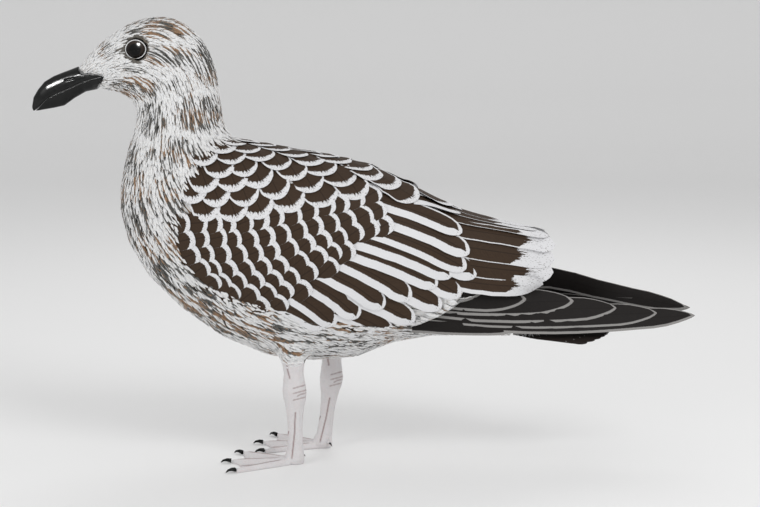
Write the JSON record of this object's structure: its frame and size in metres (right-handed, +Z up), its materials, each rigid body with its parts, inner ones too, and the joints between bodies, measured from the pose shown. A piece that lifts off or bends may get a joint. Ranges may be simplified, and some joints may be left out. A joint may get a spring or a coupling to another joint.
{
  "type": "juvenile great black-backed gull",
  "caption": "Young large gull standing with folded wings, a still life-size model with a black bill, chequered brown back and webbed feet.",
  "frame": {"origin": "on the floor, under the centre of the bird's bounding box; the bird's plane of symmetry, apart from its legs, is y = 0", "axes": "-X is the way the bird faces, +Z is up, -Y is its left side"},
  "size_m": [0.66, 0.1599, 0.4416],
  "materials": {
    "plumage": "soft white body feathers with grey-brown streaks",
    "wing_feather": "matt brown feathers with white edges",
    "flight_feather": "smooth blackish vanes",
    "horn": "satin black horn",
    "eye": "wet, glossy near-black",
    "leg_skin": "dull pinkish-grey scaled skin"
  },
  "bodies": {
    "root": {"bill_lower": "horn", "bill_upper": "horn", "claw_hind_left": "horn", "claw_hind_right": "horn", "claw_inner_left": "horn", "claw_inner_right": "horn", "claw_middle_left": "horn", "claw_middle_right": "horn", "claw_outer_left": "horn", "claw_outer_right": "horn", "eye_left": "eye", "eye_right": "eye", "foot_left": "leg_skin", "foot_right": "leg_skin", "head": "plumage", "neck": "plumage", "primaries_left": "flight_feather", "primaries_right": "flight_feather", "shank_left": "leg_skin", "shank_right": "leg_skin", "tail": "flight_feather", "tarsus_left": "leg_skin", "tarsus_right": "leg_skin", "tertials_left": "wing_feather", "tertials_right": "wing_feather", "thigh_left": "plumage", "thigh_right": "plumage", "trunk": "plumage", "wing_left": "wing_feather", "wing_right": "wing_feather"}
  },
  "joints": []
}
